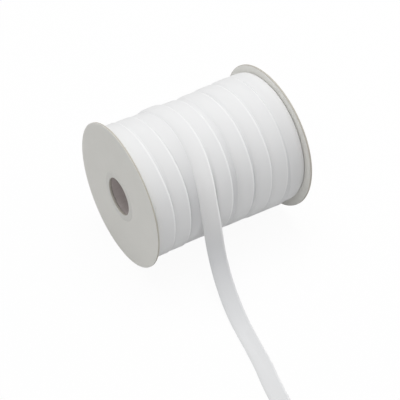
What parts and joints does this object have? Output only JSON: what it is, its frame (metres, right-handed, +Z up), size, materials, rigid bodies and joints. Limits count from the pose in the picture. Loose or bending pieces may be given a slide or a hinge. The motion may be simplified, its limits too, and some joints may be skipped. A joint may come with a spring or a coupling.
{
  "type": "roll of velvet ribbon",
  "caption": "Narrow white velvet ribbon wound on a spool with round card flanges and a paper tube, lying on its side with the ribbon's end pulled out over the surface.",
  "frame": {"origin": "on the surface the spool lies on, below the middle of the box that holds the spool and its loose end", "axes": "+X along the spool's axis from the near flange to the far one, -Y the way the loose end runs out, +Z up"},
  "size_m": [0.0966, 0.1794, 0.0817],
  "materials": {
    "flange_card": "matt paper-faced greyboard, off-white",
    "core_paper": "matt wound paper, grey brown",
    "velvet_ribbon": "soft short-pile velvet with plain woven edges, white"
  },
  "bodies": {
    "root": {"near_flange": "flange_card", "far_flange": "flange_card", "core_tube": "core_paper", "wound_ribbon": "velvet_ribbon", "loose_end": "velvet_ribbon"}
  },
  "joints": []
}
